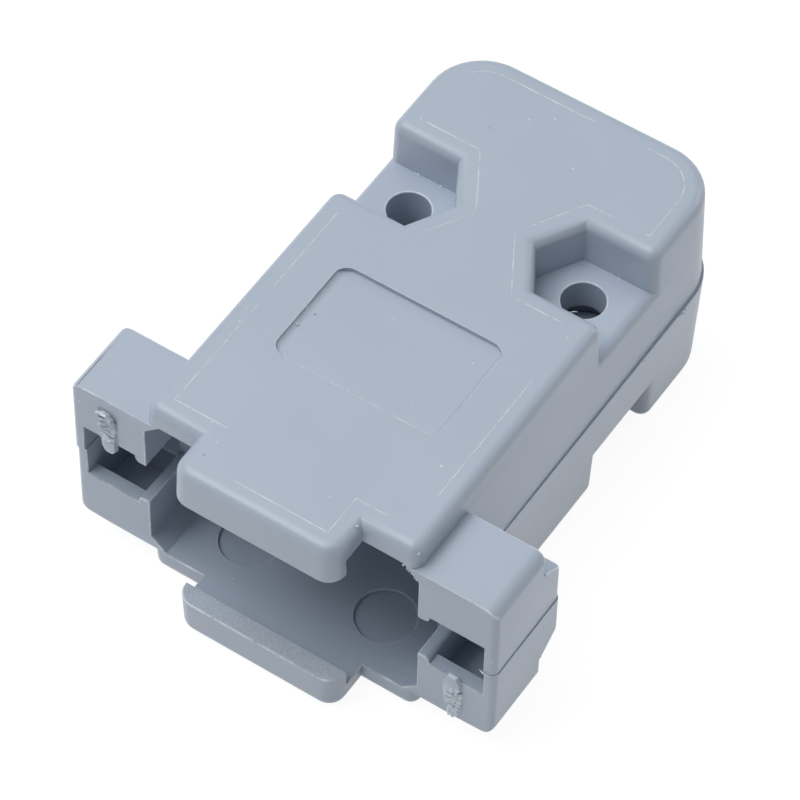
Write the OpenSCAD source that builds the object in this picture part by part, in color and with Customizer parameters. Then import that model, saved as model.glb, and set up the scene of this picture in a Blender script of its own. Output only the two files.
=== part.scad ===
// Hood for a nine-way D-sub connector: two equal moulded half shells, closed face to face.
// X runs across the hood, Y from the connector seat to the cable end, and Z up.
// The origin is the middle of the connector seat, on the parting plane.
// One half is drawn above the parting plane. Turned half a turn about Y, the same half closes it below.

/* [Body] */
// Width of the body at its top
body_w = 19.85; // [19:0.05:26]
// Length of the body at its top, behind the connector seat
body_l = 35.7; // [34:0.05:50]
// Height of the closed body
body_h = 16.8; // [16.4:0.2:22]
// Plan radius of the two rear corners
rear_corner_r = 3.9; // [2:0.1:6]
// Rounding along the outer edges of the body
edge_r = 0.8; // [0.4:0.1:1.2]
// Thickness of the side walls and the rear wall
side_wall = 1.3; // [1:0.1:2]
// Draft of the body's outer walls, which spread from the top towards the parting plane
draft = 2; // [0:0.25:2.5]

/* [Connector seat] */
// Width of each hooked lip at its outer face
lip_w = 11.95; // [8:0.05:16]
// Reach of each lip in front of the seat, at its outer face
lip_reach = 3; // [2.6:0.1:5]
// Thickness of the hooked edge of a lip
lip_t = 1.25; // [0.8:0.05:1.8]
// Clear height between the two hooked edges
lip_gap = 10.5; // [9:0.1:12]
// Plan radius of the corners of a lip
lip_corner_r = 1.2; // [0.9:0.1:2.5]
// Width of the mouth that takes the connector's rear shell
mouth_w = 20; // [18:0.25:20.5]
// Clear height of the mouth and of the chamber behind it
mouth_h = 13.2; // [12.6:0.1:14]
// Depth of the mouth behind the seat
mouth_d = 4.4; // [3:0.1:8]
// Bevel along the four corners of the mouth
mouth_bevel = 1.1; // [0.4:0.1:2]

/* [Ears] */
// Width over the two ears
ear_span = 31.2; // [30.6:0.2:34]
// Height over the two halves of an ear
ear_h = 13; // [12:0.2:15]
// Depth of an ear at its top
ear_d = 5.5; // [4.8:0.1:8]
// Plan radius of the rear corner of an ear
ear_corner_r = 0.4; // [0.3:0.1:2]
// Rounding along the outer top edge of an ear
ear_edge_r = 0.95; // [0.2:0.05:1.1]
// Plan radius of the front corner of an ear
ear_front_r = 0.5; // [0.1:0.05:0.7]
// Depth by which the middle of an ear stands out at the back
ear_heel_d = 1.9; // [1:0.1:3]
// Height of the flat face on the heel
ear_heel_h = 5.9; // [5:0.1:8]
// Height of the bevel at each end of the heel's flat face
ear_bevel_h = 1.4; // [1:0.1:2]
// Plan radius of the outer corner of the heel
ear_heel_r = 0.5; // [0.2:0.1:0.9]
// Thickness of the outer side wall of an ear
ear_side_t = 0.85; // [0.6:0.05:1.2]
// Thickness of the front wall of an ear
ear_front_t = 1; // [0.7:0.1:1.6]
// Thickness of the top wall and the back wall of an ear
ear_wall = 1.1; // [0.8:0.1:1.5]
// Thickness of the wall between an ear and the mouth
divider_t = 0.85; // [0.6:0.05:1.2]
// Clear height between the dividing walls of the two halves
divider_gap = 3.8; // [2:0.1:4.4]
// Rounding along the end of the dividing wall, on the channel's side
divider_edge_r = 0.4; // [0.1:0.05:0.5]
// Height of the slot in the front wall of an ear
slot_h = 4.9; // [4.4:0.1:7]
// Distance between the two jackscrews
jack_spacing = 25; // [24.5:0.1:25.5]
// Diameter of the jackscrew hole in the back wall of an ear
jack_hole_d = 3.4; // [2.6:0.1:3.8]

/* [Assembly screws] */
// Distance between the two assembly screws
screw_spacing = 13.1; // [12.4:0.1:14]
// Distance of the assembly screws behind the seat
screw_y = 24.1; // [22:0.1:26]
// Diameter of the screw holes
screw_hole_d = 2.9; // [2.4:0.1:3.4]
// Width across the flats of the six-sided pockets at their top
pocket_af = 6.15; // [5.6:0.05:7.2]
// Distance by which the pockets lie in front of their screw holes
pocket_offset = 0.2; // [0:0.05:0.5]
// Depth of the pockets
pocket_d = 3.45; // [2.5:0.05:4.5]
// Thickness of the walls and floor around a pocket
pocket_wall = 1.2; // [0.8:0.1:1.6]
// Diameter of the screw posts under the pockets
post_d = 6.4; // [5.8:0.1:7]
// Diameter of the spigot on one of the two posts
spigot_d = 4.3; // [4:0.1:4.8]
// Length of the spigot past the parting plane
spigot_l = 1.2; // [0.6:0.1:1.8]
// Clearance around the spigot in its socket
spigot_clearance = 0.15; // [0.1:0.05:0.3]
// Length of the screw hole that is left above the socket
hole_l = 2.4; // [1.5:0.1:2.8]

/* [Label recess] */
// Width of the label recess
label_w = 12.15; // [6:0.05:16]
// Length of the label recess
label_l = 8.05; // [4:0.5:10]
// Distance of the label recess behind the seat
label_y = 7.8; // [4:0.2:10]
// Depth of the label recess
label_depth = 0.35; // [0.1:0.05:0.6]
// Radius along the two ends of the recess's floor
label_cove_r = 0.5; // [0.1:0.05:0.8]
// Corner radius of the label recess
label_corner_r = 1; // [0.4:0.1:2]

/* [Cable end] */
// Diameter of the cable hole in the rear wall
cable_hole_d = 7; // [5:0.2:8]
// Diameter of the cable saddles in the ribs
saddle_d = 6; // [4.6:0.2:7]
// Thickness of a saddle rib
rib_t = 1.2; // [0.8:0.1:1.6]
// Number of saddle ribs
rib_count = 2; // [1:1:2]
// Distance from one saddle rib to the next
rib_pitch = 2.6; // [2:0.1:3]

/* [Ejector marks] */
// Diameter of the ejector marks in the chamber
mark_d = 4; // [2:0.5:5]
// Distance between the two ejector marks
mark_spacing = 10.3; // [6:0.1:12]
// Distance of the ejector marks behind the seat
mark_y = 3.9; // [3:0.1:8]
// Depth of the ejector marks
mark_depth = 0.3; // [0.05:0.05:0.5]

/* [Hidden] */
half_h = body_h / 2;
roof_z = mouth_h / 2;
pocket_floor_z = half_h - pocket_d;
pocket_y = screw_y - pocket_offset;
chamber_w = body_w - 2 * side_wall;
chamber_l = body_l - mouth_d - side_wall;
socket_d = spigot_d + 2 * spigot_clearance;
socket_z = pocket_floor_z - hole_l;
ear_x = mouth_w / 2 + divider_t;
ear_side_x = ear_span / 2 - ear_side_t;
heel_y = ear_d + ear_heel_d;
heel_top_z = ear_heel_h / 2 + ear_bevel_h;
// The last rib stands this far in front of the rear wall
rib_end_gap = 2.2;
// Cuts run this far past a face
over = 1;

// Points of a quarter arc that ends a wall at the top, for a wall that stands at x
function edge_arc(x, z, r, steps = 8) =
  [for (i = [0 : steps]) [x - r + r * cos(90 * i / steps), z - r + r * sin(90 * i / steps)]];

// Upright post with a rounded top edge, which spreads downwards by the draft
module rounded_post(plan_r, top_r, h) {
  foot_r = plan_r + tan(draft) * (h - top_r);
  rotate_extrude($fn = plan_r > 2 ? 48 : 32)
    polygon(concat([[0, 0], [foot_r, 0]], edge_arc(plan_r, h, top_r), [[0, h]]));
}

// Convex slab, alike on both sides. Each corner is [x, y, plan radius].
module slab(corners) {
  hull()
    for (c = corners, side = [-1, 1])
      translate([side * c[0], c[1], 0]) rounded_post(c[2], edge_r, half_h);
}

// Body in front of the pockets and behind them, and the waist between them
module body_block() {
  side_x = body_w / 2 - edge_r;
  // The six-sided pockets, grown by the edge rounding, give the centres of the waist's rounding
  grown_half = pocket_af / 2 + edge_r;
  apex_x = screw_spacing / 2 - grown_half / cos(30);
  shoulder_x = screw_spacing / 2 - grown_half * tan(30);
  front_y = pocket_y - grown_half;
  back_y = pocket_y + grown_half;
  // The seat is flat, so the draft is cut off in front of it
  intersection() {
    slab([[side_x, edge_r, edge_r], [side_x, front_y, edge_r]]);
    translate([-body_w, 0, -over]) cube([2 * body_w, body_l, body_h]);
  }
  slab([[shoulder_x, front_y, edge_r], [apex_x, pocket_y, edge_r]]);
  slab([[apex_x, pocket_y, edge_r], [shoulder_x, back_y, edge_r]]);
  slab([
    [side_x, back_y, edge_r],
    [body_w / 2 - rear_corner_r, body_l - rear_corner_r, rear_corner_r]
  ]);
}

// Floor of the pockets, with its outer edges rounded. It runs on past the rounded ends of both blocks.
module pocket_floor() {
  length = pocket_af + 4 * edge_r;
  floor_x = body_w / 2 + tan(draft) * pocket_d;
  foot_x = body_w / 2 + tan(draft) * (half_h - edge_r);
  profile = concat([[foot_x, 0]], edge_arc(floor_x, pocket_floor_z, edge_r));
  translate([0, pocket_y + length / 2, 0]) rotate([90, 0, 0]) linear_extrude(length)
    for (side = [0, 1])
      mirror([side, 0]) polygon(concat([[-over, 0]], profile, [[-over, pocket_floor_z]]));
}

// Lip that stands out in front of the body
module lip_block() {
  x = lip_w / 2 - lip_corner_r;
  slab([[x, lip_corner_r - lip_reach, lip_corner_r], [x, edge_r + lip_corner_r, lip_corner_r]]);
}

// Outline of both ears from above, down to the given depth
module ear_plan(depth, corner_r) {
  x = ear_span / 2;
  translate([-x + ear_front_r, 0]) square([2 * (x - ear_front_r), depth - corner_r]);
  translate([-x, ear_front_r]) square([2 * x, depth - ear_front_r - corner_r]);
  translate([-x + corner_r, ear_front_r]) square([2 * (x - corner_r), depth - ear_front_r]);
  for (side = [-1, 1]) {
    translate([side * (x - ear_front_r), ear_front_r]) circle(ear_front_r, $fn = 32);
    translate([side * (x - corner_r), depth - corner_r]) circle(corner_r, $fn = 48);
  }
}

// Both ears as one bar across the body, with the bevelled heel behind them
module ear_block() {
  x = ear_span / 2;
  intersection() {
    linear_extrude(ear_h / 2) ear_plan(ear_d, ear_corner_r);
    translate([0, ear_d + over, 0]) rotate([90, 0, 0]) linear_extrude(ear_d + 2 * over) {
      translate([-x, 0]) square([ear_span, ear_h / 2 - ear_edge_r]);
      translate([-x + ear_edge_r, 0]) square([ear_span - 2 * ear_edge_r, ear_h / 2]);
      for (side = [-1, 1])
        translate([side * (x - ear_edge_r), ear_h / 2 - ear_edge_r]) circle(ear_edge_r, $fn = 48);
    }
  }
  intersection() {
    linear_extrude(heel_top_z) ear_plan(heel_y, ear_heel_r);
    translate([-x, 0, 0]) rotate([90, 0, 90]) linear_extrude(ear_span)
      polygon([
        [ear_d / 2, 0], [heel_y, 0], [heel_y, ear_heel_h / 2],
        [ear_d, heel_top_z], [ear_d / 2, heel_top_z]
      ]);
  }
}

// Rectangle with round corners, from the X axis to +Y
module round_plan(w, l, r) {
  translate([-w / 2, r]) square([w, l - 2 * r]);
  translate([-w / 2 + r, 0]) square([w - 2 * r, l]);
  for (side = [-1, 1], y = [r, l - r])
    translate([side * (w / 2 - r), y]) circle(r, $fn = 48);
}

// Outline of the walls around the two pockets: six-sided towards the middle and open at the sides
module pocket_walls_plan() {
  af = pocket_af + 2 * pocket_wall;
  for (side = [-1, 1])
    translate([side * screw_spacing / 2, pocket_y]) {
      circle(af / sqrt(3), $fn = 6);
      translate([side > 0 ? 0 : -body_w, -af / 2]) square([body_w, af]);
    }
}

// Mouth and chamber as a plain hollow, before walls and posts stand in it
module hollow_block() {
  bevel_x = mouth_w / 2 - mouth_bevel;
  translate([0, mouth_d, 0]) rotate([90, 0, 0]) linear_extrude(mouth_d + lip_reach - lip_t)
    polygon([
      [-mouth_w / 2, -over], [mouth_w / 2, -over], [mouth_w / 2, roof_z - mouth_bevel],
      [bevel_x, roof_z], [-bevel_x, roof_z], [-mouth_w / 2, roof_z - mouth_bevel]
    ]);
  translate([-lip_w / 2 - over, -lip_reach - over, -over])
    cube([lip_w + 2 * over, lip_t + 2 * over, lip_gap / 2 + over]);
  // The chamber starts inside the mouth, so that the two hollows run together
  corner_r = max(rear_corner_r - side_wall, 0.2);
  translate([0, mouth_d - corner_r, -over]) linear_extrude(roof_z + over)
    round_plan(chamber_w, chamber_l + corner_r, corner_r);
}

// What stands in the chamber: pocket walls, screw posts and saddle ribs
module chamber_fittings() {
  translate([0, 0, pocket_floor_z - pocket_wall]) linear_extrude(half_h) pocket_walls_plan();
  for (side = [-1, 1])
    translate([side * screw_spacing / 2, screw_y, -2 * over]) cylinder(d = post_d, h = half_h, $fn = 64);
  for (i = [0 : rib_count - 1])
    translate([-body_w / 2, body_l - side_wall - rib_end_gap - rib_t - i * rib_pitch, -2 * over])
      cube([body_w, rib_t, half_h + 2 * over]);
}

// Jackscrew channel in the ear on the +X side, with its front slot and its back hole
module ear_channel() {
  inner_d = ear_d - ear_wall;
  // The bevel's inner face keeps the wall's thickness
  bevel_step = ear_wall * tan(atan2(ear_heel_d, ear_bevel_h) / 2);
  translate([ear_x, 0, 0]) rotate([90, 0, 90]) linear_extrude(ear_side_x - ear_x)
    polygon([
      [ear_front_t, -over], [heel_y - ear_wall, -over], [heel_y - ear_wall, ear_heel_h / 2 - bevel_step],
      [inner_d, heel_top_z - ear_wall - bevel_step], [inner_d, ear_h / 2 - ear_wall],
      [ear_front_t, ear_h / 2 - ear_wall]
    ]);
  translate([ear_x, -over, -over]) cube([ear_side_x - ear_x, ear_front_t + 2 * over, slot_h / 2 + over]);
  translate([0, inner_d, 0]) rotate([90, 0, 0]) linear_extrude(inner_d + over) {
    translate([mouth_w / 2 - over, -over]) square([divider_t + 2 * over, divider_gap / 2 + over]);
    translate([ear_x - divider_edge_r, divider_gap / 2]) difference() {
      translate([0, -over]) square([divider_edge_r, divider_edge_r + over]);
      translate([0, divider_edge_r]) circle(divider_edge_r, $fn = 32);
    }
  }
  translate([jack_spacing / 2, heel_y + over, 0]) rotate([90, 0, 0])
    cylinder(d = jack_hole_d, h = ear_wall + 2 * over, $fn = 48);
}

// Label recess in the top face, whose floor turns up in a cove at its two ends
module label_recess() {
  cove_x = label_w / 2 - label_cove_r;
  translate([0, label_y, half_h - label_depth]) intersection() {
    linear_extrude(label_depth + over) round_plan(label_w, label_l, label_corner_r);
    translate([0, label_l + over, 0]) rotate([90, 0, 0]) linear_extrude(label_l + 2 * over) {
      translate([-cove_x, 0]) square([2 * cove_x, label_depth + over]);
      translate([-label_w / 2, label_cove_r]) square([label_w, label_depth + over - label_cove_r]);
      for (side = [-1, 1])
        translate([side * cove_x, label_cove_r]) circle(label_cove_r, $fn = 48);
    }
  }
}

// Screw holes through both posts, and the socket on the +X side
module screw_holes() {
  for (side = [-1, 1])
    translate([side * screw_spacing / 2, screw_y, -spigot_l - over])
      cylinder(d = screw_hole_d, h = half_h + spigot_l + 2 * over, $fn = 48);
  translate([screw_spacing / 2, screw_y, -over]) cylinder(d = socket_d, h = socket_z + over, $fn = 48);
}

// Cable hole in the rear wall and the saddles in the ribs
module cable_way() {
  translate([0, body_l + over, 0]) rotate([90, 0, 0])
    cylinder(d = cable_hole_d, h = side_wall + 2 * over, $fn = 64);
  translate([0, body_l - side_wall, 0]) rotate([90, 0, 0])
    cylinder(d = saddle_d, h = rib_end_gap + rib_count * rib_pitch + rib_t, $fn = 64);
}

// Shallow round marks that the ejector pins leave in the roof of the chamber
module ejector_marks() {
  for (side = [-1, 1])
    translate([side * mark_spacing / 2, mark_y, roof_z - over])
      cylinder(d = mark_d, h = over + mark_depth, $fn = 48);
}

// One half shell, on the upper side of the parting plane
module half_shell() {
  difference() {
    union() {
      body_block();
      pocket_floor();
      lip_block();
      ear_block();
      translate([-screw_spacing / 2, screw_y, -spigot_l])
        cylinder(d = spigot_d, h = spigot_l + over, $fn = 48);
    }
    difference() {
      hollow_block();
      chamber_fittings();
    }
    ear_channel();
    mirror([1, 0, 0]) ear_channel();
    label_recess();
    screw_holes();
    cable_way();
    ejector_marks();
  }
}

module upper_shell() {
  color([0.66, 0.7, 0.75]) half_shell();
}

module lower_shell() {
  color([0.6, 0.64, 0.69]) rotate([0, 180, 0]) half_shell();
}

upper_shell();
lower_shell();
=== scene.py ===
import math

import bmesh
import bpy
import numpy as np
from mathutils import Matrix, Vector


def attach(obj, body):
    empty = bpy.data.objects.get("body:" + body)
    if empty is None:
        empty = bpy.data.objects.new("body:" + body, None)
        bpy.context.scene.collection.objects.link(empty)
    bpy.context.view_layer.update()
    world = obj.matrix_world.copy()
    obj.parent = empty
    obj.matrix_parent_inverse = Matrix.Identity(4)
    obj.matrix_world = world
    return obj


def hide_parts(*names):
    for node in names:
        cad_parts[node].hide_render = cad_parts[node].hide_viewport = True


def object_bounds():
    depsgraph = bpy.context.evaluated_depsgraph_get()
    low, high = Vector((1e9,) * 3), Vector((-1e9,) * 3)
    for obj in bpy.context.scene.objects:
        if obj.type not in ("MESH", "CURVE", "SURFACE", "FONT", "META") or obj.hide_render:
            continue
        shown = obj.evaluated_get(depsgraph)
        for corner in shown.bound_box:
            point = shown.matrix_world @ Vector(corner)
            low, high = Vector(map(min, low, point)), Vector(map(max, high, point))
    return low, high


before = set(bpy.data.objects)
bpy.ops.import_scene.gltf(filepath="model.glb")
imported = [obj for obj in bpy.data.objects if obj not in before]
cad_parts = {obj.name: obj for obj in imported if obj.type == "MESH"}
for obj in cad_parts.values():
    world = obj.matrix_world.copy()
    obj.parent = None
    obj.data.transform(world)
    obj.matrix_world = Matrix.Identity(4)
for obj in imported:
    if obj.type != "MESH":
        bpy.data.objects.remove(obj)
cadLow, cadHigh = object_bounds()
mm = 0.001
scene = bpy.context.scene
smoothDegrees = 60                                  # new pieces stay sharp where they bend by more than this
absIor = 1.54
wholeSkin = 0.5                                     # the tear and shade attribute's value where plastic isn't torn
mixFactor, mixA, mixB, mixColour = 0, 6, 7, 2       # sockets of a Mix node that mixes colours
print("frame loaded", [round(c / mm, 2) for c in cadLow], [round(c / mm, 2) for c in cadHigh])


def linearColour(hexText):
    # An sRGB hex value, each channel turned linear, with full opacity
    channels = np.array([int(hexText[i:i + 2], 16) for i in (1, 3, 5)]) / 255
    low = channels / 12.92
    high = ((channels + 0.055) / 1.055) ** 2.4
    return (*np.where(channels <= 0.04045, low, high), 1.0)


def emptyTree(owner):
    # The node tree of a material or a world, with nothing in it yet
    owner.use_nodes = True
    owner.node_tree.nodes.clear()
    return owner.node_tree


def addNode(tree, kind, settings=None, links=None):
    # Adds one node: settings go on its attributes or its input sockets, links feed its inputs,
    # each from a socket or from another node's first output
    node = tree.nodes.new(kind)
    for key, value in (settings or {}).items():
        if isinstance(key, str) and hasattr(node, key):
            setattr(node, key, value)
        else:
            node.inputs[key].default_value = value
    for key, source in (links or {}).items():
        tree.links.new(getattr(source, "outputs", [source])[0], node.inputs[key])
    return node


def perMetre(sizeMm):
    # The scale of a pattern whose grains or patches have this size
    return 1 / (sizeMm * mm)


def unit(vectors):
    # Each row scaled to length 1
    return vectors / np.linalg.norm(vectors, axis=1)[:, None]


def gridFaces(rows, cols, wrap=False):
    # Quads between neighbours of a rows x cols grid of points; wrap joins the last column to the first
    r = np.arange(rows - 1)[:, None]
    c = np.arange(cols if wrap else cols - 1)[None, :]
    nextC = (c + 1) % cols
    quads = np.stack([r * cols + c, r * cols + nextC, (r + 1) * cols + nextC, (r + 1) * cols + c], axis=-1)
    return quads.reshape(-1, 4)


def tubeFaces(rows, ring):
    # The faces of a closed tube: quads between its rings of points, and one face over each end
    ends = np.array([np.arange(ring)[::-1], np.arange(ring) + (rows - 1) * ring])
    return [gridFaces(rows, ring, wrap=True), ends]


def newPiece(name, points, faces, material, tearAndShade=None):
    # Points in mm as one array, faces as a list of index arrays, all put into the mesh at once.
    # A torn piece gives its tear, with any painted shade, as one value a point, or as one value for all.
    corners = np.concatenate([f.ravel() for f in faces])
    sizes = np.concatenate([np.full(len(f), f.shape[1]) for f in faces])
    mesh = bpy.data.meshes.new(name)
    mesh.vertices.add(len(points))
    mesh.vertices.foreach_set("co", (np.asarray(points, float) * mm).ravel())
    mesh.loops.add(len(corners))
    mesh.loops.foreach_set("vertex_index", corners.astype(np.int32))
    mesh.polygons.add(len(sizes))
    mesh.polygons.foreach_set("loop_start", np.concatenate([[0], np.cumsum(sizes)[:-1]]).astype(np.int32))
    mesh.polygons.foreach_set("loop_total", sizes.astype(np.int32))
    mesh.update(calc_edges=True)
    mesh.validate()
    mesh.shade_smooth()
    mesh.set_sharp_from_angle(angle=math.radians(smoothDegrees))
    mesh.materials.append(material)
    if tearAndShade is not None:
        values = np.broadcast_to(tearAndShade, len(points)).copy()
        mesh.attributes.new("tearAndShade", "FLOAT", "POINT").data.foreach_set("value", values)
    piece = bpy.data.objects.new(name, mesh)
    scene.collection.objects.link(piece)
    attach(piece, "root")
    return piece


def waves(u, v, rng, mix):
    # Seeded rough relief: a sum of sine waves in random directions, finer ones lower.
    # The mix is how many there are, then the shortest and the longest, in mm.
    count, shortest, longest = mix
    total = np.zeros(np.broadcast(u, v).shape)
    for _ in range(count):
        pitch = rng.uniform(shortest, longest)
        turn, phase = rng.uniform(0, 2 * np.pi, 2)
        total += pitch / longest * np.sin(2 * np.pi * (u * np.cos(turn) + v * np.sin(turn)) / pitch + phase)
    return total / np.sqrt(count)


# The photograph's viewing angle, as a long lens far off
camera = {
    "azimuth": 32.363, "elevation": 52.940, "roll": 1.3725,      # degrees
    "place": (93.07, -133.605, 231.867),                         # mm
    "lens": 208.06, "sensor": 36.0,                              # mm
    "clip": (0.01, 20.0),                                        # m
}


def addCamera(settings):
    # Back points from the object to the camera, and the camera is rolled about it
    azimuth, elevation, roll = (math.radians(settings[k]) for k in ("azimuth", "elevation", "roll"))
    level = math.cos(elevation)
    back = Vector((math.sin(azimuth) * level, -math.cos(azimuth) * level, math.sin(elevation)))
    right = (-back).cross(Vector((0, 0, 1))).normalized()
    up = right.cross(-back)
    rolledRight = math.cos(roll) * right + math.sin(roll) * up
    rolledUp = -math.sin(roll) * right + math.cos(roll) * up
    data = bpy.data.cameras.new("camera")
    data.lens = settings["lens"]
    data.sensor_width = settings["sensor"]
    data.clip_start, data.clip_end = settings["clip"]
    holder = bpy.data.objects.new("camera", data)
    scene.collection.objects.link(holder)
    turn = Matrix((rolledRight, rolledUp, back)).transposed().to_4x4()
    holder.matrix_world = Matrix.Translation(Vector(settings["place"]) * mm) @ turn
    scene.camera = holder


addCamera(camera)
print("camera set")


shellFinish = {
    "colour": "#B1BDCD", "shadeColour": "#A9B5C5", "cloudMm": 8.0, "roughness": (0.32, 0.42),
    # the real grain is too fine to show, so it is drawn as coarse as this
    "grainMm": 0.16, "grainHeightMm": 0.004, "grainStrength": 0.3,
    "dust": {"colour": "#DCE2E8", "cellMm": 1.5, "fleckMm": 0.1, "share": 0.5, "strength": 0.65},
    "darkFlecks": {"colour": "#8793A1", "cellMm": 2.4, "fleckMm": 0.12, "share": 0.35, "strength": 0.55},
    # the inner face of a hooked lip edge was left spark-eroded, so it is rough, and its glitter is painted
    # into the colour as glints and shade
    "strip": {"z": (5.15, 5.35), "y": (-3.2, -1.6), "grainMm": 0.11, "grainHeightMm": 0.03,
              "colour": "#C0CAD6", "darkColour": "#A9B5C2", "spread": (0.38, 0.62)},
}


def mouldedAbs(name, finish):
    # Moulded ABS, a styrene plastic from a spark-eroded and lightly polished mould: an even satin colour,
    # a soft broad gloss, a very fine grain, and here and there a pale fleck of dust or a small dark fleck
    material = bpy.data.materials.new(name)
    tree = emptyTree(material)
    place = addNode(tree, "ShaderNodeTexCoord").outputs["Object"]
    # colour clouds, a shade apart, as the melt flowed
    clouds = addNode(tree, "ShaderNodeTexNoise", {"Scale": perMetre(finish["cloudMm"]), "Detail": 4.0},
                     {"Vector": place})
    shades = {mixA: linearColour(finish["colour"]), mixB: linearColour(finish["shadeColour"])}
    tint = addNode(tree, "ShaderNodeMix", {"data_type": "RGBA", **shades},
                   {mixFactor: clouds}).outputs[mixColour]
    # one cell in a few holds a fleck, and no two flecks are of a size
    for flecks in (finish["dust"], finish["darkFlecks"]):
        cells = addNode(tree, "ShaderNodeTexVoronoi", {"Scale": perMetre(flecks["cellMm"])},
                        {"Vector": place})
        luck = addNode(tree, "ShaderNodeSeparateColor", None, {0: cells.outputs["Color"]})
        largest = flecks["fleckMm"] / flecks["cellMm"]
        reach = addNode(tree, "ShaderNodeMapRange",
                        {"From Max": flecks["share"], "To Min": largest, "To Max": 0.0}, {0: luck})
        fleck = addNode(tree, "ShaderNodeMath", {"operation": "LESS_THAN"},
                        {0: cells.outputs["Distance"], 1: reach})
        amount = addNode(tree, "ShaderNodeMath", {"operation": "MULTIPLY", 1: flecks["strength"]},
                         {0: fleck})
        tint = addNode(tree, "ShaderNodeMix", {"data_type": "RGBA", mixB: linearColour(flecks["colour"])},
                       {mixFactor: amount, mixA: tint}).outputs[mixColour]
    # the rough strip lies on the hooked edge of either half
    strip = finish["strip"]
    xyz = addNode(tree, "ShaderNodeSeparateXYZ", None, {0: place})
    height = addNode(tree, "ShaderNodeMath", {"operation": "ABSOLUTE"}, {0: xyz.outputs["Z"]})
    within = []
    for value, (low, high) in ((height, strip["z"]), (xyz.outputs["Y"], strip["y"])):
        middle, half = (low + high) / 2 * mm, (high - low) / 2 * mm
        within.append(addNode(tree, "ShaderNodeMath",
                              {"operation": "COMPARE", 1: middle, 2: half}, {0: value}))
    onStrip = addNode(tree, "ShaderNodeMath", {"operation": "MULTIPLY"}, {0: within[0], 1: within[1]})
    coarse = addNode(tree, "ShaderNodeTexNoise",
                     {"Scale": perMetre(strip["grainMm"]), "Detail": 3.0, "Roughness": 0.7},
                     {"Vector": place})
    # painted glints and shade: the grain's tops paler and its hollows darker, from the same noise that
    # raises the bump
    low, high = strip["spread"]
    grainGlintAndShade = addNode(tree, "ShaderNodeMapRange", {"From Min": low, "From Max": high}, {0: coarse})
    shades = {mixA: linearColour(strip["darkColour"]), mixB: linearColour(strip["colour"])}
    rough = addNode(tree, "ShaderNodeMix", {"data_type": "RGBA", **shades}, {mixFactor: grainGlintAndShade})
    tint = addNode(tree, "ShaderNodeMix", {"data_type": "RGBA"},
                   {mixFactor: onStrip, mixA: tint, mixB: rough.outputs[mixColour]}).outputs[mixColour]
    grain = addNode(tree, "ShaderNodeTexNoise", {"Scale": perMetre(finish["grainMm"]), "Detail": 2.0},
                    {"Vector": place})
    fine = addNode(tree, "ShaderNodeBump",
                   {"Strength": finish["grainStrength"], "Distance": finish["grainHeightMm"] * mm},
                   {"Height": grain})
    bump = addNode(tree, "ShaderNodeBump", {"Distance": strip["grainHeightMm"] * mm},
                   {"Strength": onStrip, "Height": coarse, "Normal": fine})
    low, high = finish["roughness"]
    gloss = addNode(tree, "ShaderNodeMapRange", {"To Min": low, "To Max": high}, {0: clouds})
    shader = addNode(tree, "ShaderNodeBsdfPrincipled", {"IOR": absIor},
                     {"Base Color": tint, "Roughness": gloss, "Normal": bump})
    addNode(tree, "ShaderNodeOutputMaterial", None, {"Surface": shader})
    return material


# along a mould edge or a witness line: pale, partly a painted highlight for the light these edges catch,
# partly rubbed, and paler where flash broke off
edgeWearAndHighlightFinish = {
    "colour": "#D8E0E8", "darkColour": "#B6C1CE", "spread": (0.36, 0.6), "patchMm": 0.9, "roughness": 0.28,
}


def edgeWearAndHighlightAbs(name, finish):
    # The same ABS rubbed, and paler as a painted highlight along edges: two tones in patches, and glossier
    # than the skin
    material = bpy.data.materials.new(name)
    tree = emptyTree(material)
    place = addNode(tree, "ShaderNodeTexCoord").outputs["Object"]
    patches = addNode(tree, "ShaderNodeTexNoise",
                      {"Scale": perMetre(finish["patchMm"]), "Detail": 4.0, "Roughness": 0.65},
                      {"Vector": place})
    low, high = finish["spread"]
    spread = addNode(tree, "ShaderNodeMapRange", {"From Min": low, "From Max": high}, {0: patches})
    shades = {mixA: linearColour(finish["darkColour"]), mixB: linearColour(finish["colour"])}
    tint = addNode(tree, "ShaderNodeMix", {"data_type": "RGBA", **shades}, {mixFactor: spread})
    shader = addNode(tree, "ShaderNodeBsdfPrincipled", {"IOR": absIor, "Roughness": finish["roughness"]},
                     {"Base Color": tint.outputs[mixColour]})
    addNode(tree, "ShaderNodeOutputMaterial", None, {"Surface": shader})
    return material


# where a gate or flash was torn off: whitened where the plastic was drawn out, and a painted shade colour
# down the cracks and in hollows
tornFinish = {
    "colour": "#DDE5EC", "skinColour": "#B1BDCD", "darkColour": "#49525D", "roughness": 0.3,
    "patchMm": 0.22, "patchSpread": (0.35, 0.65), "patchLeast": 0.4, "grainMm": 0.12, "grainHeightMm": 0.012,
}


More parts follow.
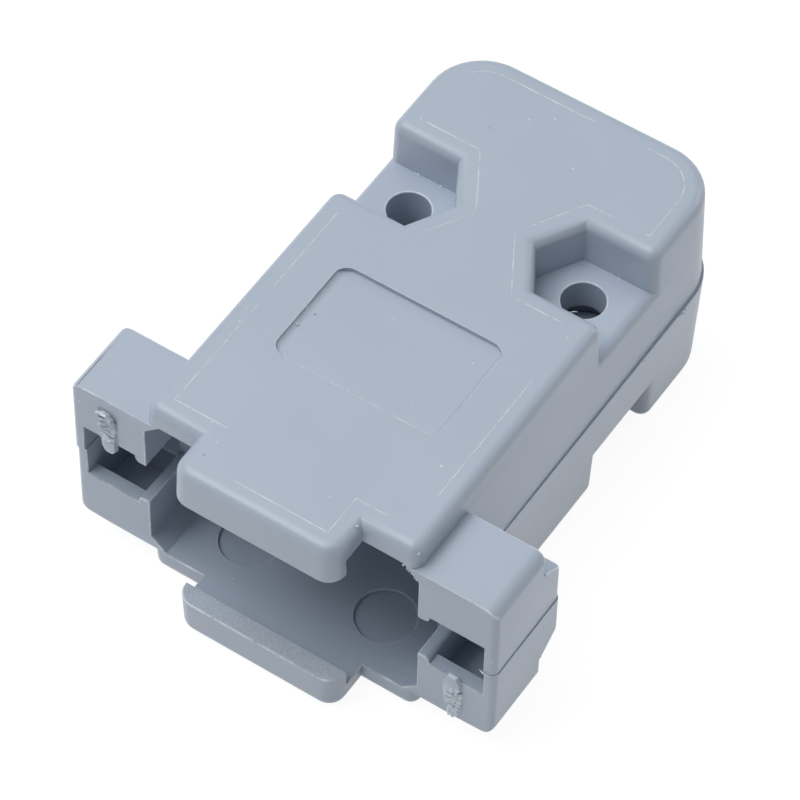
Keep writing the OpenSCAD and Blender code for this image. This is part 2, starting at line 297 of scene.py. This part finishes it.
def tornAbs(name, finish):
    # The same ABS torn. The mesh's tear and shade attribute runs from 0, a painted shade down a crack or in
    # a hollow, over whole skin to 1 on plastic that was drawn out, which is patchy and has a grain.
    material = bpy.data.materials.new(name)
    tree = emptyTree(material)
    place = addNode(tree, "ShaderNodeTexCoord").outputs["Object"]
    tearAndShade = addNode(tree, "ShaderNodeAttribute", {"attribute_name": "tearAndShade"}).outputs["Fac"]
    drawn = addNode(tree, "ShaderNodeMapRange", {"From Min": wholeSkin, "From Max": 1.0}, {0: tearAndShade})
    paintedShadeShare = addNode(tree, "ShaderNodeMapRange", {"From Min": wholeSkin, "From Max": 0.0}, {0: tearAndShade})
    patches = addNode(tree, "ShaderNodeTexNoise", {"Scale": perMetre(finish["patchMm"]), "Detail": 3.0},
                      {"Vector": place})
    low, high = finish["patchSpread"]
    patch = addNode(tree, "ShaderNodeMapRange",
                    {"From Min": low, "From Max": high, "To Min": finish["patchLeast"], "To Max": 1.0},
                    {0: patches})
    pale = addNode(tree, "ShaderNodeMath", {"operation": "MULTIPLY"}, {0: drawn, 1: patch})
    shades = {mixA: linearColour(finish["skinColour"]), mixB: linearColour(finish["colour"])}
    skin = addNode(tree, "ShaderNodeMix", {"data_type": "RGBA", **shades}, {mixFactor: pale})
    # painted shade: the dark colour down the cracks and in the hollow above a gate scar's lip
    tint = addNode(tree, "ShaderNodeMix", {"data_type": "RGBA", mixB: linearColour(finish["darkColour"])},
                   {mixFactor: paintedShadeShare, mixA: skin.outputs[mixColour]})
    grain = addNode(tree, "ShaderNodeTexNoise", {"Scale": perMetre(finish["grainMm"]), "Detail": 3.0},
                    {"Vector": place})
    bump = addNode(tree, "ShaderNodeBump", {"Distance": finish["grainHeightMm"] * mm},
                   {"Strength": drawn, "Height": grain})
    shader = addNode(tree, "ShaderNodeBsdfPrincipled", {"IOR": absIor, "Roughness": finish["roughness"]},
                     {"Base Color": tint.outputs[mixColour], "Normal": bump})
    addNode(tree, "ShaderNodeOutputMaterial", None, {"Surface": shader})
    return material


shellPlastic = mouldedAbs("moulded_abs_blue_grey", shellFinish)
edgeWearAndHighlightPlastic = edgeWearAndHighlightAbs("abs_edge_wear_and_painted_highlight", edgeWearAndHighlightFinish)
tornPlastic = tornAbs("torn_abs_whitened_and_painted_shade", tornFinish)
print("materials ready")


# Each shell: the node that its piece replaces, and its half, 1 for the upper and -1 for the lower
moulding = {
    "pieces": {"upperShellMoulding": ("upper_shell", 1), "lowerShellMoulding": ("lower_shell", -1)},
    "weldUm": 2, "partingUm": 1, "flatDegrees": 0.3,
    # the round on an outward mould edge, and the share of the next edge that it may take at a corner;
    # a corner flatter than cornerDegrees doesn't count
    "edgeMm": 0.099, "edgeSteps": 2, "edgeDegrees": 35, "roomShare": 0.45, "cornerDegrees": 150,
    # the rear and left edges of the label recess stayed sharper
    "recessEdgeMm": 0.027,
    "recess": {"x": (-6.3, 6.3), "y": (7.6, 16.2), "z": 8.2, "left": -5.4, "rear": 15.3},
    "seamMm": 0.04,             # the halves bear on their posts, so a hair of dark shows between them
    # the lower half sits this far off the upper and a little turned, within its spigot's play
    "slipMm": (0.06, 0.05), "slipDegrees": 0.2,
}
slipX, slipY = moulding["slipMm"]
slipTurn = Matrix.Rotation(-math.radians(moulding["slipDegrees"]), 4, "Z")
lowerSlip = Matrix.Translation((slipX * mm, slipY * mm, 0)) @ slipTurn


def onHalf(points, half):
    # Points in mm, given as on the upper half. On the lower half they get a half turn about Y and the slip.
    if half > 0:
        return points
    slip = np.array(lowerSlip)
    return points * (-1, 1, -1) @ slip[:3, :3].T + slip[:3, 3] / mm


def edgeWidth(edge, half, settings):
    # The width of an edge's round, in mm: the full one, or the recess's, or what there is room for at the
    # edge's convex corners, measured square to it. The recess's places are given as on the upper half.
    x, y, z = (edge.verts[0].co + edge.verts[1].co) / 2 / mm
    x, z = half * x, half * z
    box = settings["recess"]
    inside = box["x"][0] < x < box["x"][1] and box["y"][0] < y < box["y"][1] and z > box["z"]
    width = settings["recessEdgeMm" if inside and (x < box["left"] or y > box["rear"]) else "edgeMm"]
    for loop in edge.link_loops:
        after = loop.link_loop_next
        for corner, beside in ((loop, loop.link_loop_prev.edge), (after, after.edge)):
            angle = corner.calc_angle()
            if corner.is_convex and angle < math.radians(settings["cornerDegrees"]):
                width = min(width, settings["roomShare"] * beside.calc_length() * math.sin(angle) / mm)
    return width


def dressShell(name, node, half, settings):
    # A welded copy of the CAD node, its flat faces joined. The parting face is drawn back by half the seam,
    # each outward mould edge gets its round from a Bevel modifier, and the lower half gets its slip.
    work = bmesh.new()
    work.from_mesh(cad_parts[node].data)
    weld = settings["weldUm"] * mm / 1000
    bmesh.ops.remove_doubles(work, verts=work.verts, dist=weld)
    bmesh.ops.dissolve_degenerate(work, dist=weld, edges=work.edges)
    bmesh.ops.dissolve_limit(work, angle_limit=math.radians(settings["flatDegrees"]),
                             verts=work.verts, edges=work.edges)
    parting = [v for v in work.verts if abs(v.co.z) < settings["partingUm"] * mm / 1000]
    bmesh.ops.translate(work, verts=parting, vec=Vector((0, 0, half * settings["seamMm"] / 2 * mm)))
    onSeam = set(parting)
    weight = work.edges.layers.float.new("bevel_weight_edge")
    sharp = math.radians(settings["edgeDegrees"])
    for edge in work.edges:
        if edge.calc_face_angle_signed(0.0) > sharp and not onSeam.issuperset(edge.verts):
            edge[weight] = edgeWidth(edge, half, settings) / settings["edgeMm"]
    if half < 0:
        bmesh.ops.transform(work, verts=work.verts, matrix=lowerSlip)
    mesh = bpy.data.meshes.new(name)
    work.to_mesh(mesh)
    work.free()
    if "custom_normal" in mesh.attributes:
        mesh.attributes.remove(mesh.attributes["custom_normal"])
    mesh.shade_smooth()
    mesh.set_sharp_from_angle(angle=sharp)
    for material in (shellPlastic, edgeWearAndHighlightPlastic):
        mesh.materials.append(material)
    piece = bpy.data.objects.new(name, mesh)
    scene.collection.objects.link(piece)
    rounds = piece.modifiers.new("mould edges", "BEVEL")
    rounds.width = settings["edgeMm"] * mm
    rounds.segments = settings["edgeSteps"]
    rounds.limit_method = "WEIGHT"
    rounds.use_clamp_overlap = False
    rounds.harden_normals = True
    rounds.material = 1         # pale edge plastic: painted highlight, partly rubbing
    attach(piece, "root")
    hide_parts(node)


for name, (node, half) in moulding["pieces"].items():
    dressShell(name, node, half, moulding)
print("shells dressed")


# Gate scars, where the runner was cut off: on one ear of each half. Places are x and z on the ear's front,
# in mm, and both are given as on the upper half. A name that ends in Waves is a mix for waves().
gateScars = {
    "upperGateScar": {
        "half": 1, "seed": 11, "white": 0.5, "foldWaves": (20, 0.1, 0.34), "foldSlant": 0.35,
        # height, left edge, right edge
        "edges": [(1.56, -12.8, -12.5), (1.75, -13.08, -12.2), (2.1, -13.22, -12.06), (2.7, -13.32, -12.12),
                  (3.3, -13.45, -12.17), (3.97, -13.54, -12.08), (4.64, -13.54, -12.08), (5.2, -13.6, -12.0),
                  (5.7, -13.4, -12.0), (6.0, -12.9, -12.15)],
        "lip": [(-13.58, 5.2), (-13.25, 5.26), (-12.75, 5.28), (-12.42, 4.98), (-12.25, 4.6)],
        "lipHeight": 0.24, "lipWidth": 0.07, "hollow": 0.34,
        # middle, half width and half length
        "tongue": (-12.64, 2.4, 0.6, 1.0), "tongueHeight": 0.15, "tongueTop": 2.7,
        "cracks": [[(-13.3, 4.72), (-12.95, 4.83), (-12.62, 4.78), (-12.33, 4.2)],
                   [(-13.24, 3.4), (-12.8, 3.36), (-12.26, 3.24)],
                   [(-13.25, 4.34), (-12.7, 4.28)], [(-13.2, 3.98), (-12.55, 3.84)],
                   [(-12.9, 3.66), (-12.35, 3.62)], [(-13.44, 4.9), (-13.4, 4.3)],
                   [(-13.05, 4.56), (-12.45, 4.5)], [(-13.3, 3.72), (-12.95, 3.6)],
                   [(-12.85, 4.12), (-12.3, 3.98)]],
    },
    "lowerGateScar": {
        "half": -1, "seed": 23, "white": 0.8, "foldWaves": (20, 0.16, 0.45), "foldSlant": 0.9,
        "edges": [(2.05, -13.0, -12.36), (2.3, -13.18, -12.16), (2.6, -13.28, -12.05), (3.2, -13.37, -11.92),
                  (4.0, -13.42, -11.94), (4.7, -13.42, -12.0), (5.3, -13.35, -12.08), (5.9, -13.2, -12.25),
                  (6.42, -13.0, -12.45)],
        "lip": [(-13.3, 5.9), (-13.1, 6.2), (-12.8, 6.32), (-12.5, 6.2)],
        "lipHeight": 0.12, "lipWidth": 0.12, "hollow": 0.0,
        "tongue": (-12.68, 2.75, 0.68, 0.78), "tongueHeight": 0.16, "tongueTop": 3.1,
        "cracks": [[(-12.4, 4.0), (-12.87, 3.94)], [(-13.08, 3.74), (-13.31, 3.4)],
                   [(-12.1, 5.2), (-12.57, 5.17), (-12.98, 5.26), (-13.2, 5.2)],
                   [(-12.9, 4.9), (-13.2, 4.7)], [(-12.3, 4.55), (-12.6, 4.5)]],
    },
    "rows": 180, "cols": 72, "pad": 0.14, "rim": 0.12, "skin": 0.004, "sink": 0.03, "backMm": 0.3,
    # each side of the rim wanders by waves read this far from the other side's
    "rimWander": 0.02, "rimApart": 7.0, "rimWaves": (6, 0.25, 0.8), "lipBlend": 0.15, "tongueBlend": 0.4,
    "foldHeight": 0.06, "swellHeight": 0.05, "swellWaves": (8, 0.5, 1.4),
    "crackDepth": 0.15, "crackWidth": 0.045,
    "crackWander": 0.03, "crackSlant": 2.0, "crackWaves": (6, 0.15, 0.5),
    # how much each adds to the tear and shade attribute: whitening where drawn out, more on the folds'
    # ridges, a paler lip, partly painted highlight, and painted shade down the cracks; the painted shade of
    # a hollow above the lip, which the sheet doesn't have, takes away from it, less further off
    "tearAndShade": {"drawn": 0.6, "fold": 0.5, "lip": 0.4, "crack": -1.2}, "hollowMm": 0.3,
}


def lineDistance(x, z, line):
    # Distance of each point to the nearest stretch of a line of straight runs
    near = np.full(np.broadcast(x, z).shape, np.inf)
    for (ax, az), (bx, bz) in zip(line, line[1:]):
        along = ((x - ax) * (bx - ax) + (z - az) * (bz - az)) / ((bx - ax) ** 2 + (bz - az) ** 2)
        share = np.clip(along, 0, 1)
        near = np.minimum(near, np.hypot(x - ax - share * (bx - ax), z - az - share * (bz - az)))
    return near


def ramp(value):
    # From 0 to 1 in a soft S
    value = np.clip(value, 0, 1)
    return value * value * (3 - 2 * value)


def addGateScar(name, shared):
    # A sheet over the scar. Its height is a pad that falls to the face at the rim, a round tongue at the
    # slot's end, a raised lip along a line, fine torn folds that run across, and grooves along the cracks.
    own = shared[name]
    rng = np.random.default_rng(own["seed"])
    levels, *sides = np.array(own["edges"]).T
    z = np.linspace(levels[0], levels[-1], shared["rows"])[:, None]
    v = np.linspace(-1, 1, shared["cols"])[None, :]
    rims = []
    for i, side in enumerate(sides, 1):
        wander = shared["rimWander"] * waves(z, shared["rimApart"] * i, rng, shared["rimWaves"])
        rims.append(np.interp(z, levels, side) + wander)
    left, right = rims
    x = (left + right) / 2 + v * (right - left) / 2
    z = np.broadcast_to(z, x.shape)
    fromRim = np.minimum((1 - np.abs(v)) * (right - left) / 2, np.minimum(z - levels[0], levels[-1] - z))
    rim = ramp(fromRim / shared["rim"])
    lipFar = lineDistance(x, z, own["lip"])
    lip = np.exp(-(lipFar / own["lipWidth"]) ** 2)
    lipX, lipZ = np.array(sorted(own["lip"])).T
    under = ramp((np.interp(x, lipX, lipZ) - z) / shared["lipBlend"] + 0.5)
    torn = under * ramp((z - own["tongueTop"]) / shared["tongueBlend"] + 0.5)
    tongueX, tongueZ, halfWidth, halfLength = own["tongue"]
    tongue = np.sqrt(np.clip(1 - ((x - tongueX) / halfWidth) ** 2 - ((z - tongueZ) / halfLength) ** 2, 0, 1))
    fold = waves(z, own["foldSlant"] * x, rng, own["foldWaves"])
    swell = waves(z, x, rng, shared["swellWaves"])
    crack = np.zeros_like(x)
    for line in own["cracks"]:
        wander = shared["crackWander"] * waves(x, shared["crackSlant"] * z, rng, shared["crackWaves"])
        crack = np.maximum(crack, np.exp(-(lineDistance(x, z + wander, line) / shared["crackWidth"]) ** 2))
    rough = shared["foldHeight"] * fold + shared["swellHeight"] * swell - shared["crackDepth"] * crack
    height = rim * (under * shared["pad"] + own["tongueHeight"] * tongue + own["lipHeight"] * lip
                    + torn * rough)
    height = np.where(rim > 0, height + shared["skin"], -shared["sink"])
    share = shared["tearAndShade"]
    drawn = own["white"] * torn * (share["drawn"] + share["fold"] * np.clip(fold, -1, 1))
    # painted shade: darker in a hollow above the lip, which the sheet doesn't have
    hollow = own["hollow"] * (1 - under) * (1 - lip) * np.exp(-lipFar / shared["hollowMm"])
    # paler along the lip, partly a painted highlight on top of its whitening
    tearAndShade = wholeSkin + rim * (drawn + share["lip"] * lip + share["crack"] * torn * crack - hollow)
    points = np.stack([x, -np.maximum(height, -shared["sink"]), z], axis=-1).reshape(-1, 3)
    faces = [gridFaces(shared["rows"], shared["cols"])]
    scar = newPiece(name, onHalf(points, own["half"]), faces, tornPlastic, np.clip(tearAndShade, 0, 1).ravel())
    wall = scar.modifiers.new("wall", "SOLIDIFY")
    wall.thickness = shared["backMm"] * mm
    wall.offset = -1


addGateScar("upperGateScar", gateScars)
addGateScar("lowerGateScar", gateScars)
print("gate scars cut")


# Witness lines, the seam of the mould insert: a hair-thin ridge inside the outline of each broad face, in
# the pale edge plastic, which paints a highlight along it
witnessLines = {
    "pieces": {"upperWitnessLine": (1, 5), "lowerWitnessLine": (-1, 6)},       # half and seed
    "inset": 1.35, "bodyHalf": 9.925, "bodyLength": 35.7, "rearRadius": 3.9, "arcPoints": 9,
    "lipHalf": 5.975, "lipFront": -3.0, "pocketX": 6.55, "pocketY": 23.9, "pocketAf": 6.15,
    "spacing": 0.12, "width": 0.075, "height": 0.014, "profilePoints": 7, "profilePower": 1.5,
    "footDrop": 0.004, "sink": 0.02,
    # the height's mean, its swells as a share and a mix for waves(), and its most
    "mean": 0.45, "swells": ((0.8, (12, 1.0, 9.0)), (0.3, (8, 0.3, 0.8))), "most": 1.4,
}


def insertOutline(settings):
    # The outline of the broad face, stepped inwards: the right side from front to back, then the left
    inset = settings["inset"]
    side, lip = settings["bodyHalf"] - inset, settings["lipHalf"] - inset
    grown = settings["pocketAf"] / 2 + inset
    slant = math.radians(30)                # the pocket has six sides
    apex = settings["pocketX"] - grown / math.cos(slant)
    shoulder = settings["pocketX"] - grown * math.tan(slant)
    pocketFront, pocketMiddle, pocketRear = (settings["pocketY"] + step for step in (-grown, 0, grown))
    rear, radius = settings["bodyLength"] - inset, settings["rearRadius"] - inset
    arc = np.linspace(0, np.pi / 2, settings["arcPoints"])
    corner = np.stack([side - radius + radius * np.cos(arc), rear - radius + radius * np.sin(arc)], axis=-1)
    right = np.concatenate([
        [(lip, settings["lipFront"] + inset), (lip, inset), (side, inset), (side, pocketFront),
         (shoulder, pocketFront), (apex, pocketMiddle), (shoulder, pocketRear), (side, pocketRear)], corner])
    return np.concatenate([right, right[::-1] * (-1, 1)])


def ridgeAlong(path, heights, settings):
    # A low ridge carried along a path on the broad face: each ring of points is a half wave, as high as
    # heights at that point of the path, and its foot goes down below the face
    outward = np.array([0.0, 0.0, 1.0])
    across = np.cross(unit(np.gradient(path, axis=0)), outward)
    turn = np.linspace(0, np.pi, settings["profilePoints"])
    side = np.concatenate([-np.cos(turn), [1.0, -1.0]]) * settings["width"] / 2
    rise = np.concatenate([np.sin(turn) ** settings["profilePower"], [0.0, 0.0]])
    drop = np.concatenate([np.full(len(turn), settings["footDrop"]), [settings["sink"]] * 2])
    points = (path[:, None] + across[:, None] * side[None, :, None]
              + outward * (rise[None, :, None] * heights[:, None, None] - drop[None, :, None]))
    return points.reshape(-1, 3), tubeFaces(len(path), len(side))


def addWitnessLine(name, half, seed, settings):
    # The outline is stepped evenly all the way round, and the ridge's height comes and goes along it
    rng = np.random.default_rng(seed)
    outline = insertOutline(settings)
    closed = np.vstack([outline, outline[:1]])
    far = np.concatenate([[0], np.cumsum(np.linalg.norm(np.diff(closed, axis=0), axis=1))])
    stops = np.arange(0, far[-1], settings["spacing"])
    level = np.full(len(stops), cadHigh.z / mm)
    path = np.stack([*(np.interp(stops, far, axis) for axis in closed.T), level], axis=-1)
    swells = sum(share * waves(stops, 0, rng, mix) for share, mix in settings["swells"])
    heights = settings["height"] * np.clip(settings["mean"] + swells, 0.0, settings["most"])
    points, faces = ridgeAlong(path, heights, settings)
    newPiece(name, onHalf(points, half), faces, edgeWearAndHighlightPlastic)


for name, (half, seed) in witnessLines["pieces"].items():
    addWitnessLine(name, half, seed, witnessLines)
print("witness lines drawn")


# Crumbs of flash: single ones by place and radius, and runs that are strewn between two ends
flashCrumbs = {
    "seed": 41,
    "places": [
        (-9.35, 26.85, 4.95, 0.05), (-8.32, 26.84, 4.95, 0.06), (-7.63, 26.86, 4.95, 0.1),
        (-6.4, 26.87, 4.95, 0.07), (-5.93, 26.85, 4.95, 0.1), (-5.42, 26.88, 4.95, 0.06),
        (-5.56, 26.21, 4.95, 0.06), (6.86, 26.9, 4.95, 0.08), (7.56, 26.8, 4.95, 0.11),
        (-5.8, 10.4, 8.2, 0.07), (-5.4, 11.75, 8.12, 0.06), (6.9, 12.32, 8.4, 0.05),
        (5.3, -2.35, 8.27, 0.12), (5.75, -0.2, 8.2, 0.09), (-10.37, 2.45, 6.5, 0.08), (9.8, 0.3, 8.0, 0.08),
    ],
    # start, end, how many, and their radius
    "runs": [
        ((-9.4, 26.9, 4.95), (-5.0, 26.9, 4.95), 16, 0.035),
        ((-4.9, 15.84, 8.05), (5.6, 15.84, 8.05), 26, 0.03),
        ((10.38, 25.0, -0.03), (10.41, 31.8, -0.03), 26, 0.03),
        ((10.42, 30.0, -0.09), (10.43, 31.0, -0.12), 8, 0.045),
        ((-5.2, -3.0, -5.25), (4.9, -3.0, -5.25), 60, 0.035),
        ((8.9, 0.03, 6.6), (9.98, 0.03, 5.52), 22, 0.045),
    ],
    "strew": 0.04, "flatten": (1, 1, 0.4), "sizes": (0.5, 1.5), "lumps": (0.55, 1.35),
    "ring": 6, "ringRadius": 0.87, "ringRise": 0.5,
}


def addCrumbs(name, settings):
    # Each crumb is a lump of two rings of points between two poles, pushed out or in at random
    rng = np.random.default_rng(settings["seed"])
    crumbs = [np.array(settings["places"])]
    for start, end, count, radius in settings["runs"]:
        share = rng.uniform(0, 1, count)[:, None]
        strewn = rng.normal(0, settings["strew"], (count, 3)) * settings["flatten"]
        places = np.array(start) * (1 - share) + np.array(end) * share + strewn
        crumbs.append(np.column_stack([places, radius * rng.uniform(*settings["sizes"], count)]))
    crumbs = np.concatenate(crumbs)
    ring = settings["ring"]
    around = np.arange(ring) * 2 * np.pi / ring
    circle = settings["ringRadius"] * np.column_stack([np.cos(around), np.sin(around)])
    rise = settings["ringRise"]
    upper, lower = (np.column_stack([circle, np.full(ring, level)]) for level in (rise, -rise))
    lump = np.concatenate([[(0, 0, 1)], upper, lower, [(0, 0, -1)]])
    stretch = rng.uniform(*settings["lumps"], (len(crumbs), len(lump), 1))
    points = crumbs[:, None, :3] + lump[None] * stretch * crumbs[:, None, 3:]
    high, low = np.arange(ring) + 1, np.arange(ring) + 1 + ring
    nextHigh, nextLow = np.roll(high, -1), np.roll(low, -1)
    topPole, bottomPole = np.zeros(ring, int), np.full(ring, len(lump) - 1)
    caps = np.concatenate([np.stack([topPole, high, nextHigh], axis=-1),
                           np.stack([bottomPole, nextLow, low], axis=-1)])
    belt = np.stack([high, low, nextLow, nextHigh], axis=-1)
    shift = (np.arange(len(crumbs)) * len(lump))[:, None, None]
    faces = [(caps[None] + shift).reshape(-1, 3), (belt[None] + shift).reshape(-1, 4)]
    newPiece(name, points.reshape(-1, 3), faces, tornPlastic, tearAndShade=1.0)


addCrumbs("flashCrumbs", flashCrumbs)
print("crumbs strewn")


# Threads of flash that still hang on
flashThreads = {
    # radius, then four points of the line, in mm
    "earFlashThread": (0.055, [(14.55, -0.05, 0.12), (14.85, -0.12, 0.07), (15.1, -0.11, 0.0),
                               (15.33, -0.01, -0.08)]),
    "holeFlashThread": (0.034, [(6.25, 22.66, 4.93), (6.42, 22.85, 4.98), (6.6, 23.05, 4.96),
                                (6.72, 23.1, 4.88)]),
    "steps": 24, "ring": 8, "upright": (0.0, 0.3, 1.0), "taperEnd": 0.03, "taperLeast": 0.05,
}


def addFlashThread(name, settings):
    # A thin round strand along the cubic through four points. Its radius follows the root of a half wave,
    # so that it tapers to both ends.
    thickest, line = settings[name]
    knots = np.arange(len(line))
    share = np.linspace(0, knots[-1], settings["steps"])
    path = np.stack([np.polyval(np.polyfit(knots, axis, 3), share) for axis in np.transpose(line)], axis=-1)
    along = unit(np.gradient(path, axis=0))
    across = unit(np.cross(along, settings["upright"]))
    raised = np.cross(along, across)
    turn = (np.arange(settings["ring"]) * 2 * np.pi / settings["ring"])[None, :, None]
    taper = np.sin(np.linspace(settings["taperEnd"], 1 - settings["taperEnd"], len(path)) * np.pi)
    radius = thickest * np.sqrt(np.clip(taper, settings["taperLeast"], 1))[:, None, None]
    points = path[:, None] + radius * (np.cos(turn) * across[:, None] + np.sin(turn) * raised[:, None])
    newPiece(name, points.reshape(-1, 3), tubeFaces(len(path), settings["ring"]), tornPlastic, tearAndShade=1.0)


addFlashThread("earFlashThread", flashThreads)
addFlashThread("holeFlashThread", flashThreads)
print("flash threads hung")


# To the camera and in reflections the floor is a white glow, but for this share of lit paper with its shadow
paperFloor = {"size": 6.0, "colour": "#F0F0F0", "shadowShare": 0.16, "glow": 1.1}


def addFloor(settings):
    half, low = settings["size"] / 2, cadLow.z
    mesh = bpy.data.meshes.new("floor")
    corners = [(-half, -half, low), (half, -half, low), (half, half, low), (-half, half, low)]
    mesh.from_pydata(corners, [], [(0, 1, 2, 3)])
    floor = bpy.data.objects.new("floor", mesh)
    scene.collection.objects.link(floor)
    # matt studio paper
    material = bpy.data.materials.new("white_studio_paper")
    tree = emptyTree(material)
    rays = addNode(tree, "ShaderNodeLightPath").outputs
    glossy = addNode(tree, "ShaderNodeMath", {"operation": "MAXIMUM"},
                     {0: rays["Is Camera Ray"], 1: rays["Is Glossy Ray"]})
    seen = addNode(tree, "ShaderNodeMath", {"operation": "MAXIMUM"},
                   {0: glossy, 1: rays["Is Transmission Ray"]})
    whiteShare = addNode(tree, "ShaderNodeMath", {"operation": "MULTIPLY", 1: 1 - settings["shadowShare"]},
                         {0: seen})
    paper = addNode(tree, "ShaderNodeBsdfDiffuse", {"Color": linearColour(settings["colour"])})
    glow = addNode(tree, "ShaderNodeEmission", {"Color": (1, 1, 1, 1), "Strength": settings["glow"]})
    mixed = addNode(tree, "ShaderNodeMixShader", None, {0: whiteShare, 1: paper, 2: glow})
    addNode(tree, "ShaderNodeOutputMaterial", None, {"Surface": mixed})
    mesh.materials.append(material)


# The room is brightest a little to the left of overhead, and dim near the horizon and on the right
room = {"lowest": 0.1, "highest": 1.55, "power": 4.0, "lean": (-0.34, 0.0, 0.94)}


def addRoom(settings):
    # The light from a direction rises from lowest to highest with a power of its cosine to the lean
    world = bpy.data.worlds.new("studio")
    tree = emptyTree(world)
    direction = addNode(tree, "ShaderNodeTexCoord").outputs["Generated"]
    lean = Vector(settings["lean"]).normalized()
    cosine = addNode(tree, "ShaderNodeVectorMath", {"operation": "DOT_PRODUCT", 1: lean}, {0: direction})
    above = addNode(tree, "ShaderNodeMath", {"operation": "MAXIMUM", 1: 0.0}, {0: cosine.outputs["Value"]})
    overhead = addNode(tree, "ShaderNodeMath", {"operation": "POWER", 1: settings["power"]}, {0: above})
    strength = addNode(tree, "ShaderNodeMapRange",
                       {"To Min": settings["lowest"], "To Max": settings["highest"]}, {0: overhead})
    sky = addNode(tree, "ShaderNodeBackground", {"Color": (1, 1, 1, 1)}, {"Strength": strength})
    addNode(tree, "ShaderNodeOutputWorld", None, {"Surface": sky})
    scene.world = world


# Each softbox gives this share of a fully lit level surface; size and place are in metres
softboxes = {
    "keySoftbox": {"share": 0.27, "size": 0.5, "place": (-0.29, -0.12, 0.82)},
    "edgeSoftbox": {"share": 0.09, "size": 0.25, "place": (-0.32, -0.44, 0.84)},
    "rearSoftbox": {"share": 0.06, "size": 0.4, "place": (0.5, 0.83, 0.35)},
}


def addSoftbox(name, settings):
    # A lamp's radiance is power / (pi x area), and the light that it gives a level surface is that radiance
    # x area x cosine / distance squared, where pi is full white
    place = Vector(settings["place"])
    light = bpy.data.lights.new(name, "AREA")
    light.shape = "SQUARE"
    light.size = settings["size"]
    light.energy = settings["share"] * math.pi ** 2 * place.length ** 3 / place.z
    holder = bpy.data.objects.new(name, light)
    holder.location = place
    holder.rotation_euler = place.to_track_quat("Z", "Y").to_euler()
    scene.collection.objects.link(holder)


addFloor(paperFloor)
addRoom(room)
for name, settings in softboxes.items():
    addSoftbox(name, settings)
scene.view_settings.view_transform = "Standard"
print("studio lit")
